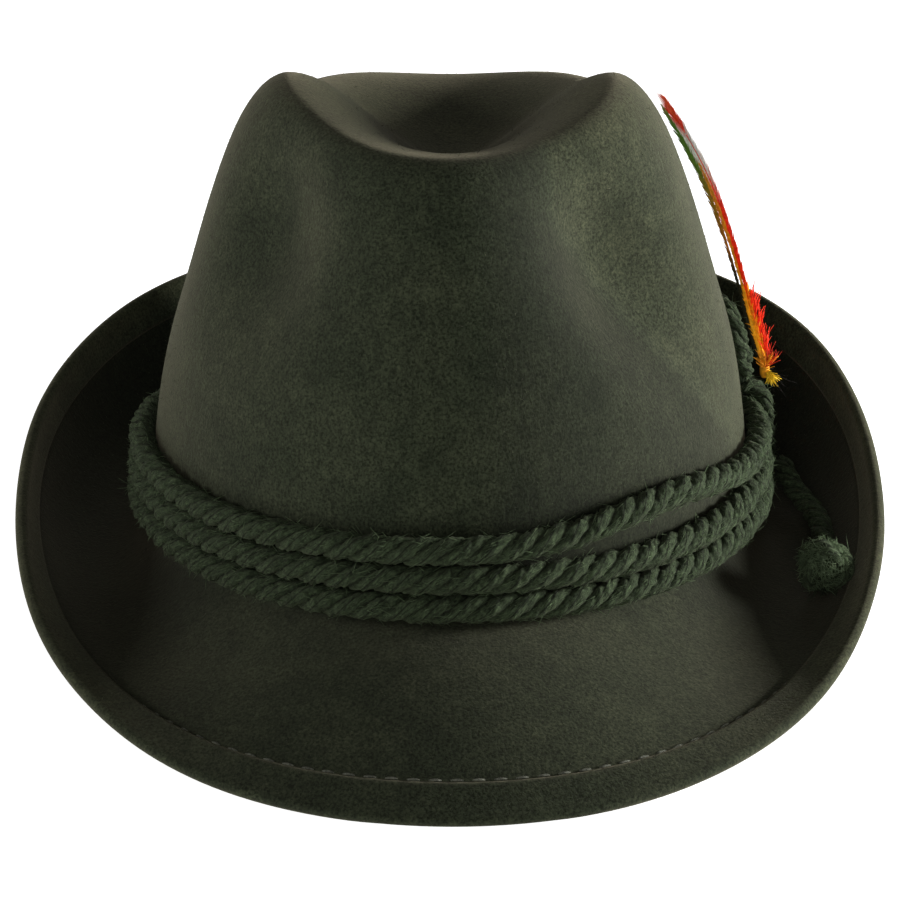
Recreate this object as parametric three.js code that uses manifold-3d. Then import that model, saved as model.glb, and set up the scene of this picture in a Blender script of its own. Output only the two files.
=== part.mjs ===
// Tyrolean hat: one felt body with a creased crown and a turned-up brim, a three-turn cord band tied at the
// wearer's left, and a small plume. Millimetres, +Z up; the hat faces -Y and its left side is +X.
// Everything is worked out in the hat's own frame, whose XY plane holds the break between crown and brim.
// The whole group is then leaned back until it rests on its front edge and on the hollow of its rear brim.
import * as THREE from "three";
import { mergeVertices } from "three/addons/utils/BufferGeometryUtils.js";
import Module from "manifold-3d";

const wasm = await Module();
wasm.setup();

// Driving sizes
const crownLength = 211; // outside of the crown at the break, front to back
const crownWidth = 174;
const crownHeight = 129.5; // from the break to the two front peaks
const dentFloorHeight = 103; // from the break to the bottom of the centre dent
const pinchDepth = 14; // how far a front pinch is pressed in
const feltThickness = 2.4;
const brimWidth = 65; // measured over the felt, at the front
const sideSag = 1.9; // how far the break dips at the two sides
const weltWidth = 10; // the edge is folded over and sewn down this wide
const weltThickness = 3.6;
const cordDiameter = 7.4;
const bandRise = 4.2; // lowest turn's centre above the break, where the brim falls away
const bandLift = 6.5; // how far the top turn stands off the middle one at the left front
const bandSideRise = 5; // how much higher the whole band runs at the hat's two sides
const wrapDiameter = 5; // cord pulled tight where it binds the band
const tailDiameter = 6.4; // the cord's loose end, a little slacker
const loopHeight = 23; // how far the standing loop rises above the binding
const endKnotDiameter = 16.6;
const tuftWidth = 6;
const tuftDepth = 7.6;
const tuftHeight = 6.6;
const lockLength = 7;
const lockWidth = 3.4;
const plumeHeight = 75.5; // from the tuft to the longest vane's tip
const plumeLeanIn = 30.5; // how far the tip lies nearer the crown than the foot does
const plumeLeanBack = 21.4;
const vaneWidth = 13;
const vaneThickness = 0.8;
const clearance = 0.3;
const flattening = 0.4; // felt pressed flat where it meets the surface

// Mesh fineness
const azimuthSteps = 60;
const rimSteps = 3;
const cordSides = 8;
const ringSteps = 60;
const wrapSteps = 12;
const loopSteps = 18;
const tailSteps = 26;
const curlSteps = 24; // for adding up the brim's curl
const seatSteps = 24; // for seating the band on the brim

const degrees = Math.PI / 180;
const feltHalf = feltThickness / 2;
const cordRadius = cordDiameter / 2;
const wrapRadius = wrapDiameter / 2;
const cordPitch = cordDiameter + clearance;

// Rows from the front (0) round to the back (180), the same on both sides. Heights are shares of crownHeight,
// reaches are shares of the crown's plan at the break, widths are shares of brimWidth.
const crownPlan = [
  { azimuth: 0, ridgeHeight: 0.9, ridgeReach: 0.81 },
  { azimuth: 22.5, ridgeHeight: 0.924, ridgeReach: 0.774 },
  { azimuth: 45, ridgeHeight: 0.981, ridgeReach: 0.68 },
  { azimuth: 67.5, ridgeHeight: 1.002, ridgeReach: 0.574 },
  { azimuth: 90, ridgeHeight: 0.96, ridgeReach: 0.51 },
  { azimuth: 112.5, ridgeHeight: 0.934, ridgeReach: 0.507 },
  { azimuth: 135, ridgeHeight: 0.928, ridgeReach: 0.54 },
  { azimuth: 157.5, ridgeHeight: 0.915, ridgeReach: 0.57 },
  { azimuth: 180, ridgeHeight: 0.905, ridgeReach: 0.58 },
];
const brimPlan = [
  { azimuth: 0, startTilt: -17, endTilt: -46, width: 1.0 },
  { azimuth: 45, startTilt: -49, endTilt: 13, width: 0.845 },
  { azimuth: 90, startTilt: -36, endTilt: 86, width: 0.79 },
  { azimuth: 135, startTilt: 17, endTilt: 84, width: 0.96 },
  { azimuth: 180, startTilt: 20, endTilt: 103, width: 0.985 },
];
// The crown's wall from the break (height 0) to the ridge (height 1); inset 0 is the break, 1 the ridge.
const wallProfile = [
  { height: 0, inset: 0 },
  { height: 0.1, inset: 0.01 },
  { height: 0.2, inset: 0.03 },
  { height: 0.34, inset: 0.092 },
  { height: 0.46, inset: 0.172 },
  { height: 0.58, inset: 0.285 },
  { height: 0.7, inset: 0.395 },
  { height: 0.8, inset: 0.5 },
  { height: 0.885, inset: 0.615 },
  { height: 0.945, inset: 0.735 },
  { height: 0.985, inset: 0.87 },
  { height: 1, inset: 1 },
];
const dentRows = [0.82, 0.64, 0.45, 0.22]; // shares of the way from the dent's middle to the ridge
const dentMiddle = -0.1; // behind the front, as a share of half the crown's length
const brimRows = [0.09, 0.23, 0.39, 0.55, 0.72, 0.88]; // shares of the way from the break to the welt
const weltRows = [0, 0.25, 0.6, 1]; // shares of the welt
// A thumb and a finger press the crown in at its two front corners, each on a line that slants outwards as it
// goes down (slant is in degrees round the crown for the whole height).
const pinches = [
  { azimuth: 37, height: 0.7, azimuthSpread: 14, heightSpread: 0.24, slant: -45, depth: 1 },
  { azimuth: -42, height: 0.74, azimuthSpread: 15, heightSpread: 0.2, slant: 20, depth: 0.8 },
];

// The band's binding sits behind the widest point of the hat's left side; azimuths in degrees from the front.
const bandTurns = 3;
const bindingAzimuth = 103;
const wrapTurns = 3;
const wrapSpacing = 0.9; // share of wrapDiameter from one wrap to the next
const loopLegs = [99.5, 113.5];
const loopFoot = 0.35; // share of the loop's height that its legs stand straight
// The top turn stands off the one below it here.
const bandGap = { azimuth: 40, spread: 20 };

// The cord's free end, from the binding forward into the hollow of the left brim, in the hat's own frame.
const tailRoute = [
  [98.6, 14.8, 9.4],
  [100.3, 9.0, 5.4],
  [102.9, 3.0, 2.0],
  [105.6, -3.0, -0.3],
  [106.8, -9.0, -1.4],
  [107.5, -15.0, -2.1],
  [107.3, -21.0, -2.8],
  [106.9, -27.0, -3.8],
  [106.3, -33.0, -4.5],
  [105.6, -39.0, -5.3],
  [104.8, -45.2, -5.4],
];
const endKnotCentre = [103.7, -54.2, -1.8];

// Three long vanes stand on the tuft, one inside the other, and share one line: shares of plumeHeight,
// plumeLeanIn and plumeLeanBack. Each vane goes part of the way along it.
const plumeLine = [
  { rise: 0, inward: 0, back: 0 },
  { rise: 0.164, inward: 0.121, back: 0.042 },
  { rise: 0.31, inward: 0.213, back: 0.112 },
  { rise: 0.457, inward: 0.325, back: 0.229 },
  { rise: 0.603, inward: 0.455, back: 0.369 },
  { rise: 0.738, inward: 0.605, back: 0.533 },
  { rise: 0.872, inward: 0.795, back: 0.743 },
  { rise: 1, inward: 1, back: 1 },
];
const feathers = [
  { name: "feather_red", colour: 0xb5201a, reach: 1, width: 1 },
  { name: "feather_orange", colour: 0xd98212, reach: 0.72, width: 0.7 },
  { name: "feather_green", colour: 0x1f3a1c, reach: 0.965, width: 0.85 },
];
// How wide a vane is along its route, as shares of its length and of its widest.
const vaneOutline = [
  { along: 0, width: 0.06 },
  { along: 0.06, width: 0.3 },
  { along: 0.2, width: 0.75 },
  { along: 0.42, width: 1 },
  { along: 0.65, width: 0.93 },
  { along: 0.82, width: 0.68 },
  { along: 0.94, width: 0.34 },
  { along: 1, width: 0.08 },
];
// The tuft rests on the binding's top turn, this far round it from straight up.
const tuftLean = 35;
// Its short locks: azimuth round the tuft and rise above level, shares of lockLength and lockWidth.
const tuftLocks = [
  { azimuth: -20, rise: -25, length: 0.89, width: 1 },
  { azimuth: 35, rise: -30, length: 0.86, width: 0.94 },
  { azimuth: 80, rise: 5, length: 0.93, width: 0.88 },
  { azimuth: -75, rise: 5, length: 0.93, width: 0.88 },
  { azimuth: 0, rise: 35, length: 0.94, width: 0.88 },
  { azimuth: -45, rise: 40, length: 1, width: 0.82 },
  { azimuth: 50, rise: 15, length: 1, width: 0.82 },
];

// A smooth even curve through the rows' values, as a short cosine series.
function roundTheHat(rows, column, azimuth) {
  const last = rows.length - 1;
  let value = 0;
  for (let order = 0; order <= last; order++) {
    let weight = 0;
    rows.forEach((row, i) => {
      const end = i === 0 || i === last ? 0.5 : 1;
      weight += end * row[column] * Math.cos((Math.PI * order * i) / last);
    });
    const half = order === 0 || order === last ? 0.5 : 1;
    value += (2 / last) * half * weight * Math.cos(order * azimuth);
  }
  return value;
}

// The middle of the felt at the break.
const breakWidth = crownWidth / 2 - feltHalf;
const breakLength = crownLength / 2 - feltHalf;

function breakPoint(azimuth) {
  const sag = sideSag * Math.sin(azimuth) ** 2;
  return new THREE.Vector3(breakWidth * Math.sin(azimuth), -breakLength * Math.cos(azimuth), -sag);
}

function outward(azimuth) {
  const across = Math.sin(azimuth) / breakWidth;
  const along = -Math.cos(azimuth) / breakLength;
  return new THREE.Vector3(across, along, 0).normalize();
}

function ridgePoint(azimuth) {
  const reach = roundTheHat(crownPlan, "ridgeReach", azimuth);
  const height = crownHeight * roundTheHat(crownPlan, "ridgeHeight", azimuth);
  return breakPoint(azimuth).multiplyScalar(reach).setZ(height);
}

function pinched(point, azimuth, height) {
  for (const pinch of pinches) {
    const centre = (pinch.azimuth + pinch.slant * (height - pinch.height)) * degrees;
    const turn = Math.atan2(Math.sin(azimuth - centre), Math.cos(azimuth - centre));
    const aside = turn / (pinch.azimuthSpread * degrees);
    const above = (height - pinch.height) / pinch.heightSpread;
    const depth = pinchDepth * pinch.depth * Math.exp(-aside * aside - above * above);
    point.addScaledVector(outward(centre), -depth);
  }
  return point;
}

function wallPoint(azimuth, height, inset) {
  const foot = breakPoint(azimuth);
  const ridge = ridgePoint(azimuth);
  const point = new THREE.Vector3(
    foot.x + (ridge.x - foot.x) * inset,
    foot.y + (ridge.y - foot.y) * inset,
    foot.z + (ridge.z - foot.z) * height,
  );
  return pinched(point, azimuth, height);
}

function dentPoint(azimuth, share) {
  const ridge = pinched(ridgePoint(azimuth), azimuth, 1);
  const middle = new THREE.Vector3(0, dentMiddle * breakLength, dentFloorHeight);
  const fall = (1 - Math.cos(Math.PI * (1 - share))) / 2;
  return new THREE.Vector3(
    ridge.x * share,
    middle.y + (ridge.y - middle.y) * share,
    ridge.z + (middle.z - ridge.z) * fall,
  );
}

function brimLengthAt(azimuth) {
  return brimWidth * roundTheHat(brimPlan, "width", azimuth);
}

// The brim curls evenly from its start tilt at the crown to its end tilt at the rim.
function brimPoint(azimuth, length) {
  const start = roundTheHat(brimPlan, "startTilt", azimuth) * degrees;
  const curl = (roundTheHat(brimPlan, "endTilt", azimuth) * degrees - start) / brimLengthAt(azimuth);
  let reach = 0;
  let rise = 0;
  for (let i = 0; i < curlSteps; i++) {
    const tilt = start + curl * length * ((i + 0.5) / curlSteps);
    reach += (Math.cos(tilt) * length) / curlSteps;
    rise += (Math.sin(tilt) * length) / curlSteps;
  }
  return breakPoint(azimuth).addScaledVector(outward(azimuth), reach).setZ(breakPoint(azimuth).z + rise);
}

// Rings of the felt's middle surface, from the dent out to the rim, and how far the two faces lie from each.
function feltRings() {
  const rings = [];
  const addRing = (pointAt, above, below) => {
    const points = [];
    for (let i = 0; i < azimuthSteps; i++) points.push(pointAt((i / azimuthSteps) * 2 * Math.PI));
    rings.push({ points, above, below });
  };
  for (const share of [...dentRows].reverse()) addRing((a) => dentPoint(a, share), feltHalf, feltHalf);
  for (const row of [...wallProfile].reverse()) {
    addRing((a) => wallPoint(a, row.height, row.inset), feltHalf, feltHalf);
  }
  for (const share of brimRows) {
    addRing((a) => brimPoint(a, (brimLengthAt(a) - weltWidth) * share), feltHalf, feltHalf);
  }
  for (const share of weltRows) {
    const above = share === 0 ? feltHalf : weltThickness - feltHalf;
    addRing((a) => brimPoint(a, brimLengthAt(a) - weltWidth * (1 - share)), above, feltHalf);
  }
  return rings;
}

// The direction square to the felt, stretched at a bend so that the wall keeps its thickness.
function mitre(before, here, after, along) {
  const first = new THREE.Vector3().crossVectors(along, new THREE.Vector3().subVectors(here, before));
  const second = new THREE.Vector3().crossVectors(along, new THREE.Vector3().subVectors(after, here));
  first.normalize();
  second.normalize();
  const middle = new THREE.Vector3().addVectors(first, second).normalize();
  return middle.multiplyScalar(1 / Math.max(0.7, middle.dot(first)));
}

function feltGeometry() {
  const rings = feltRings();
  const crest = dentPoint(0, 0);
  const faces = { above: [], below: [] };
  rings.forEach((ring, i) => {
    const inner = rings[i - 1];
    const outer = rings[i + 1];
    const above = [];
    const below = [];
    ring.points.forEach((here, j) => {
      const next = ring.points[(j + 1) % azimuthSteps];
      const last = ring.points[(j + azimuthSteps - 1) % azimuthSteps];
      const along = new THREE.Vector3().subVectors(last, next);
      const before = inner ? inner.points[j] : crest;
      const after = outer ? outer.points[j] : here.clone().multiplyScalar(2).sub(before);
      const square = mitre(before, here, after, along);
      above.push(here.clone().addScaledVector(square, ring.above));
      below.push(here.clone().addScaledVector(square, -ring.below));
    });
    faces.above.push(above);
    faces.below.push(below);
  });
  const last = rings.length - 1;
  const edge = [];
  for (let k = 1; k <= rimSteps; k++) {
    const turn = (Math.PI * k) / (rimSteps + 1);
    edge.push(
      rings[last].points.map((here, j) => {
        const top = faces.above[last][j];
        const bottom = faces.below[last][j];
        const middle = new THREE.Vector3().addVectors(top, bottom).multiplyScalar(0.5);
        const across = new THREE.Vector3().subVectors(top, middle);
        const out = new THREE.Vector3().subVectors(here, rings[last - 1].points[j]).normalize();
        out.multiplyScalar(across.length());
        return middle.addScaledVector(across, Math.cos(turn)).addScaledVector(out, Math.sin(turn));
      }),
    );
  }
  const top = new THREE.Vector3(crest.x, crest.y, crest.z + feltHalf);
  const bottom = new THREE.Vector3(crest.x, crest.y, crest.z - feltHalf);
  return closedRings([...faces.above, ...edge, ...faces.below.reverse()], top, bottom);
}

// A closed body from rings of points between two poles.
function closedRings(rings, firstPole, lastPole) {
  const count = rings[0].length;
  const positions = [...firstPole.toArray()];
  for (const ring of rings) for (const point of ring) positions.push(...point.toArray());
  positions.push(...lastPole.toArray());
  const index = [];
  const at = (ring, j) => 1 + ring * count + (j % count);
  const end = 1 + rings.length * count;
  for (let j = 0; j < count; j++) {
    index.push(0, at(0, j), at(0, j + 1));
    for (let i = 0; i + 1 < rings.length; i++) {
      index.push(at(i, j), at(i + 1, j), at(i + 1, j + 1));
      index.push(at(i, j), at(i + 1, j + 1), at(i, j + 1));
    }
    index.push(at(rings.length - 1, j), end, at(rings.length - 1, j + 1));
  }
  const geometry = new THREE.BufferGeometry();
  geometry.setAttribute("position", new THREE.Float32BufferAttribute(positions, 3));
  geometry.setIndex(index);
  return geometry;
}

function toSolid(geometry) {
  const bare = geometry.clone();
  bare.deleteAttribute("normal");
  bare.deleteAttribute("uv");
  const merged = mergeVertices(bare, 1e-3);
  return new wasm.Manifold(
    new wasm.Mesh({
      numProp: 3,
      vertProperties: new Float32Array(merged.attributes.position.array),
      triVerts: new Uint32Array(merged.index.array),
    }),
  );
}

function toGeometry(solid) {
  const mesh = solid.getMesh();
  const geometry = new THREE.BufferGeometry();
  geometry.setAttribute("position", new THREE.BufferAttribute(new Float32Array(mesh.vertProperties), 3));
  geometry.setIndex(new THREE.BufferAttribute(new Uint32Array(mesh.triVerts), 1));
  return geometry;
}

// How far the hat leans back, and how high its frame lies, with its front edge and its rear brim both down.
function restingPose(geometry) {
  const position = geometry.attributes.position;
  const lowest = (lean, side) => {
    let low = Infinity;
    for (let i = 0; i < position.count; i++) {
      const y = position.getY(i);
      if (Math.sign(y) !== side) continue;
      low = Math.min(low, position.getZ(i) * Math.cos(lean) - y * Math.sin(lean));
    }
    return low;
  };
  let level = 0;
  let steep = 30 * degrees;
  while (steep - level > 1e-6) {
    const lean = (level + steep) / 2;
    if (lowest(lean, -1) < lowest(lean, 1)) level = lean;
    else steep = lean;
  }
  return { lean: level, lift: -lowest(level, 1) - flattening };
}

function pressedFlat(geometry, pose) {
  const size = 4 * (crownLength + brimWidth);
  const below = new THREE.BoxGeometry(size, size, size);
  below.translate(0, 0, -size / 2 - pose.lift);
  below.rotateX(pose.lean);
  return toGeometry(toSolid(geometry).subtract(toSolid(below)));
}

// A straight reading of one column of a table that rises in another.
function readTable(rows, from, to, value) {
  const next = Math.max(1, rows.findIndex((row) => row[from] >= value));
  const low = rows[next - 1];
  const high = rows[next];
  return low[to] + ((high[to] - low[to]) * (value - low[from])) / (high[from] - low[from]);
}

// A point beside the crown: standing off its outer face, at a height above the break.
function besideCrown(azimuth, offset, height) {
  const foot = breakPoint(azimuth).z;
  const share = Math.max(0, (height - foot) / (ridgePoint(azimuth).z - foot));
  const point = wallPoint(azimuth, share, readTable(wallProfile, "height", "inset", share));
  return point.addScaledVector(outward(azimuth), feltHalf + offset).setZ(height);
}

// The height of the lowest turn's centre, lying in the corner between the crown and the brim.
function seatHeight(azimuth) {
  const reach = feltHalf + clearance + cordRadius;
  const foot = breakPoint(azimuth);
  const out = outward(azimuth);
  let seat = bandRise;
  for (let step = 0; step <= seatSteps; step++) {
    const felt = brimPoint(azimuth, (3 * cordDiameter * step) / seatSteps);
    const aside = new THREE.Vector3().subVectors(felt, foot).dot(out) - reach;
    if (Math.abs(aside) < reach) seat = Math.max(seat, felt.z + Math.sqrt(reach * reach - aside * aside));
  }
  return seat;
}

// The height of a turn's centre; turns are counted from the brim upwards.
function turnHeight(turn, azimuth) {
  const middle = bandGap.azimuth * degrees;
  const away = Math.atan2(Math.sin(azimuth - middle), Math.cos(azimuth - middle));
  const share = away / (bandGap.spread * degrees);
  const gap = turn === bandTurns - 1 ? bandLift * Math.exp(-share * share) : 0;
  const rise = bandSideRise * Math.sin(azimuth) ** 4;
  return seatHeight(azimuth) + turn * cordPitch + rise + gap;
}

function turnCentre(turn, azimuth) {
  return besideCrown(azimuth, clearance + cordRadius, turnHeight(turn, azimuth));
}

// A point round the top turn, this far from its centre; the angle counts from straight up, outwards.
function roundTopTurn(azimuth, reach, angle) {
  const point = turnCentre(bandTurns - 1, azimuth);
  point.addScaledVector(outward(azimuth), reach * Math.sin(angle * degrees));
  return point.setZ(point.z + reach * Math.cos(angle * degrees));
}

function cordSection(radius) {
  const corners = [];
  for (let i = 0; i < cordSides; i++) {
    const turn = (2 * Math.PI * i) / cordSides;
    corners.push(new THREE.Vector2(radius * Math.cos(turn), radius * Math.sin(turn)));
  }
  return new THREE.Shape(corners);
}

function openTube(points, radius, steps) {
  const curve = new THREE.CatmullRomCurve3(points);
  return new THREE.ExtrudeGeometry(cordSection(radius), { steps, extrudePath: curve, bevelEnabled: false });
}

// One turn of the band is a ring laid round the crown; each corner of its section keeps its place about the
// centre line.
function bandTurnGeometry(turn) {
  const ring = new THREE.TorusGeometry(breakWidth, cordRadius, cordSides, ringSteps);
  const position = ring.attributes.position;
  const corner = new THREE.Vector3();
  for (let i = 0; i < position.count; i++) {
    corner.fromBufferAttribute(position, i);
    const azimuth = Math.atan2(corner.y, corner.x);
    const aside = Math.hypot(corner.x, corner.y) - breakWidth;
    const point = turnCentre(turn, azimuth);
    point.addScaledVector(outward(azimuth), aside);
    position.setXYZ(i, point.x, point.y, point.z + corner.z);
  }
  return ring;
}

// One wrap of the binding: over the top turn and down the outside of the band.
function wrapGeometry(azimuth) {
  const reach = cordRadius + clearance + wrapRadius;
  const points = [-15, 0, 30, 60, 90].map((angle) => roundTopTurn(azimuth, reach, angle));
  const low = turnCentre(0, azimuth).addScaledVector(outward(azimuth), reach);
  points.push(low.clone().lerp(points[4], 0.5), low);
  return openTube(points, wrapRadius, wrapSteps);
}

function bindingTop(azimuth) {
  return turnHeight(bandTurns - 1, azimuth) + cordRadius + clearance + wrapDiameter;
}

// The wraps lie close enough to join: each is turned round the crown from the one before it.
function bindingGeometry() {
  const middle = bindingAzimuth * degrees;
  const pace = turnCentre(0, middle + degrees).distanceTo(turnCentre(0, middle)) / degrees;
  const apart = (wrapSpacing * wrapDiameter) / pace;
  let solid = null;
  for (let i = 0; i < wrapTurns; i++) {
    const wrap = toSolid(wrapGeometry(middle + (i - (wrapTurns - 1) / 2) * apart));
    solid = solid ? solid.add(wrap) : wrap;
  }
  return toGeometry(solid);
}

// The standing loop: up one leg, over, and down the other, close against the crown.
function loopGeometry() {
  const [first, last] = loopLegs.map((leg) => leg * degrees);
  const foot = bindingTop(bindingAzimuth * degrees) + clearance;
  const offset = clearance + cordRadius;
  const middle = (first + last) / 2;
  const half = (last - first) / 2;
  const crest = foot + loopHeight - cordRadius;
  const bend = besideCrown(first, offset, crest).distanceTo(besideCrown(last, offset, crest)) / 2;
  const straight = foot + loopFoot * loopHeight;
  const points = [besideCrown(first, offset, foot), besideCrown(first, offset, straight)];
  for (const turn of [-90, -60, -30, 0, 30, 60, 90]) {
    const azimuth = middle + half * Math.sin(turn * degrees);
    points.push(besideCrown(azimuth, offset, crest - bend + bend * Math.cos(turn * degrees)));
  }
  points.push(besideCrown(last, offset, straight), besideCrown(last, offset, foot));
  return openTube(points, cordRadius, loopSteps);
}

function asPoints(route) {
  return route.map((point) => new THREE.Vector3(...point));
}

// The knot at the cord's end: a ball with the lumps of a hitch, frayed flat below.
function endKnotGeometry() {
  const ball = new THREE.SphereGeometry(endKnotDiameter / 2, 14, 9);
  const position = ball.attributes.position;
  const point = new THREE.Vector3();
  for (let i = 0; i < position.count; i++) {
    point.fromBufferAttribute(position, i);
    const turn = Math.atan2(point.z, point.x);
    const level = point.y / (endKnotDiameter / 2);
    const lump = 1 - 0.07 * (1 - Math.cos(3 * turn + 2 * level)) * (1 - level * level);
    point.multiplyScalar(lump);
    position.setXYZ(i, point.x, point.y, 0.9 * point.z);
  }
  ball.translate(...endKnotCentre);
  return ball;
}

function tuftCentre() {
  const reach = cordRadius + clearance + wrapDiameter + clearance + tuftHeight / 2;
  return roundTopTurn(bindingAzimuth * degrees, reach, tuftLean);
}

// A vane is a thin leaf round its line, with an edge to the front and one to the back. Each vane stands
// inside the one before.
function featherGeometry(feather, order) {
  const foot = tuftCentre().add(new THREE.Vector3(0, tuftDepth / 4, tuftHeight / 2));
  foot.x -= order * (vaneThickness + clearance);
  const line = plumeLine.map((row) => {
    const inward = -plumeLeanIn * row.inward;
    return new THREE.Vector3(inward, plumeLeanBack * row.back, plumeHeight * row.rise).add(foot);
  });
  const curve = new THREE.CatmullRomCurve3(line);
  const rings = vaneOutline.map((row) => {
    const at = curve.getPointAt(row.along * feather.reach);
    const along = curve.getTangentAt(row.along * feather.reach);
    const across = new THREE.Vector3(0, 1, 0).addScaledVector(along, -along.y).normalize();
    const through = new THREE.Vector3().crossVectors(across, along).normalize();
    const half = (vaneWidth / 2) * feather.width * row.width;
    const thick = Math.min(half, vaneThickness / 2);
    return [0, 60, 120, 180, 240, 300].map((turn) => {
      const point = at.clone().addScaledVector(across, half * Math.cos(turn * degrees));
      return point.addScaledVector(through, thick * Math.sin(turn * degrees));
    });
  });
  return closedRings(rings, curve.getPointAt(0), curve.getPointAt(feather.reach));
}

function tuftGeometry() {
  const head = new THREE.SphereGeometry(0.5, 8, 6);
  head.scale(tuftWidth, tuftHeight, tuftDepth);
  head.rotateX(Math.PI / 2);
  let solid = toSolid(head);
  for (const lock of tuftLocks) {
    const length = lockLength * lock.length;
    const cone = new THREE.ConeGeometry((lockWidth * lock.width) / 2, length, 6);
    cone.translate(0, length / 2, 0);
    cone.scale(1, 1, 0.7);
    cone.rotateZ((lock.rise - 90) * degrees);
    cone.rotateX(Math.PI / 2);
    cone.rotateZ(lock.azimuth * degrees);
    solid = solid.add(toSolid(cone));
  }
  return toGeometry(solid).translate(...tuftCentre().toArray());
}

function part(name, geometry, colour, roughness) {
  const material = new THREE.MeshStandardMaterial({ color: colour, roughness, metalness: 0 });
  const mesh = new THREE.Mesh(geometry, material);
  mesh.name = name;
  return mesh;
}

const feltGreen = 0x2a2e22;
const cordGreen = 0x34412c;
const tuftYellow = 0xd9a514;
const rawFelt = feltGeometry();
const pose = restingPose(rawFelt);

const hat = new THREE.Group();
hat.add(part("felt_body", pressedFlat(rawFelt, pose), feltGreen, 0.95));
const bandNames = ["cord_lower", "cord_middle", "cord_upper"];
bandNames.forEach((name, turn) => hat.add(part(name, bandTurnGeometry(turn), cordGreen, 0.9)));
hat.add(part("side_knot", bindingGeometry(), cordGreen, 0.9));
hat.add(part("cord_loop", loopGeometry(), cordGreen, 0.9));
hat.add(part("cord_tail", openTube(asPoints(tailRoute), tailDiameter / 2, tailSteps), cordGreen, 0.9));
hat.add(part("tail_knot", endKnotGeometry(), cordGreen, 0.95));
hat.add(part("feather_tuft", tuftGeometry(), tuftYellow, 0.8));
feathers.forEach((feather, order) => {
  hat.add(part(feather.name, featherGeometry(feather, order), feather.colour, 0.7));
});

// The hat leans back on the surface, with its box centred on the origin.
hat.rotation.x = -pose.lean;
hat.position.z = pose.lift;
hat.updateMatrixWorld(true);
const looseEnd = ["cord_tail", "tail_knot"];
const box = new THREE.Box3();
for (const piece of hat.children) {
  if (!looseEnd.includes(piece.name)) box.expandByObject(piece, true);
}
hat.position.x -= (box.min.x + box.max.x) / 2;
hat.position.y -= (box.min.y + box.max.y) / 2;

export default hat;
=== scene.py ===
import math

import bpy
import numpy as np
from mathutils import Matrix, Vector


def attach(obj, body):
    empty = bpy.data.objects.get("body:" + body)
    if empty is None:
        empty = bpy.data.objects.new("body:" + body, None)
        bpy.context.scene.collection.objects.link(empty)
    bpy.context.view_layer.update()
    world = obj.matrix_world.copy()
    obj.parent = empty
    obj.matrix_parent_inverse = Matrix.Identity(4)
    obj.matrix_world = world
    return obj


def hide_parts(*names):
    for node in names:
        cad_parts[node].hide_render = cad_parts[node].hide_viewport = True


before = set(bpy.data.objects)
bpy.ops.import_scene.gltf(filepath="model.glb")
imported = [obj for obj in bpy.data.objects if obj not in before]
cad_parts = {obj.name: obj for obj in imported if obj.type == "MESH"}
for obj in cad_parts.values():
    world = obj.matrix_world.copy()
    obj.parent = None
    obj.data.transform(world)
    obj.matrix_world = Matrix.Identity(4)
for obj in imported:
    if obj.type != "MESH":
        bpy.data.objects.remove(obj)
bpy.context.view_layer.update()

# Sizes of the hat, in metres, as in the part's source
CROWN_LENGTH = 0.211
CROWN_WIDTH = 0.174
CROWN_HEIGHT = 0.1295
DENT_FLOOR_HEIGHT = 0.103
PINCH_DEPTH = 0.014
FELT_THICKNESS = 0.0024
BRIM_WIDTH = 0.065
SIDE_SAG = 0.0019
WELT_WIDTH = 0.010
WELT_THICKNESS = 0.0036
CORD_DIAMETER = 0.0074
BAND_RISE = 0.0042
BAND_LIFT = 0.0065
BAND_SIDE_RISE = 0.005
WRAP_DIAMETER = 0.005
TAIL_DIAMETER = 0.0064
LOOP_HEIGHT = 0.023
CLEARANCE = 0.0003

FELT_HALF = FELT_THICKNESS / 2
CORD_RADIUS = CORD_DIAMETER / 2
WRAP_RADIUS = WRAP_DIAMETER / 2
TAIL_RADIUS = TAIL_DIAMETER / 2
CORD_PITCH = CORD_DIAMETER + CLEARANCE
BREAK_WIDTH = CROWN_WIDTH / 2 - FELT_HALF
BREAK_LENGTH = CROWN_LENGTH / 2 - FELT_HALF

# How the hat leans back on the surface: the hat's own frame, seen from the row frame
LEAN = math.radians(7.26717)
LIFT = 0.014114
SHIFT = 0.012569

# Values at even steps from the front (0) round to the back (180), the same on both sides: heights are shares of
# the crown's height, reaches shares of its plan at the break, widths shares of the brim's, tilts in degrees
CROWN_PLAN = {
    "ridge_height": (0.9, 0.924, 0.981, 1.002, 0.96, 0.934, 0.928, 0.915, 0.905),
    "ridge_reach": (0.81, 0.774, 0.68, 0.574, 0.51, 0.507, 0.54, 0.57, 0.58),
}
BRIM_PLAN = {
    "start_tilt": (-17, -49, -36, 17, 20),
    "end_tilt": (-46, 13, 86, 84, 103),
    "width": (1.0, 0.845, 0.79, 0.96, 0.985),
}
# The crown's wall, from the break to the ridge: shares of the height, and how far it has leaned in
WALL_HEIGHT = (0, 0.1, 0.2, 0.34, 0.46, 0.58, 0.7, 0.8, 0.885, 0.945, 0.985, 1)
WALL_INSET = (0, 0.01, 0.03, 0.092, 0.172, 0.285, 0.395, 0.5, 0.615, 0.735, 0.87, 1)
DENT_MIDDLE = -0.1
PINCHES = (
    {"azimuth": 37, "height": 0.7, "azimuth_spread": 14, "height_spread": 0.24, "slant": -45, "depth": 1},
    {"azimuth": -42, "height": 0.74, "azimuth_spread": 15, "height_spread": 0.2, "slant": 20, "depth": 0.8},
)
BAND_TURNS = 3
BAND_GAP = {"azimuth": math.radians(40), "spread": math.radians(20)}
BINDING_AZIMUTH = math.radians(103)
WRAP_TURNS = 3
WRAP_SPACING = 0.9
LOOP_FOOT = 0.35
LOOP_LEGS = (math.radians(99.5), math.radians(113.5))

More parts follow.
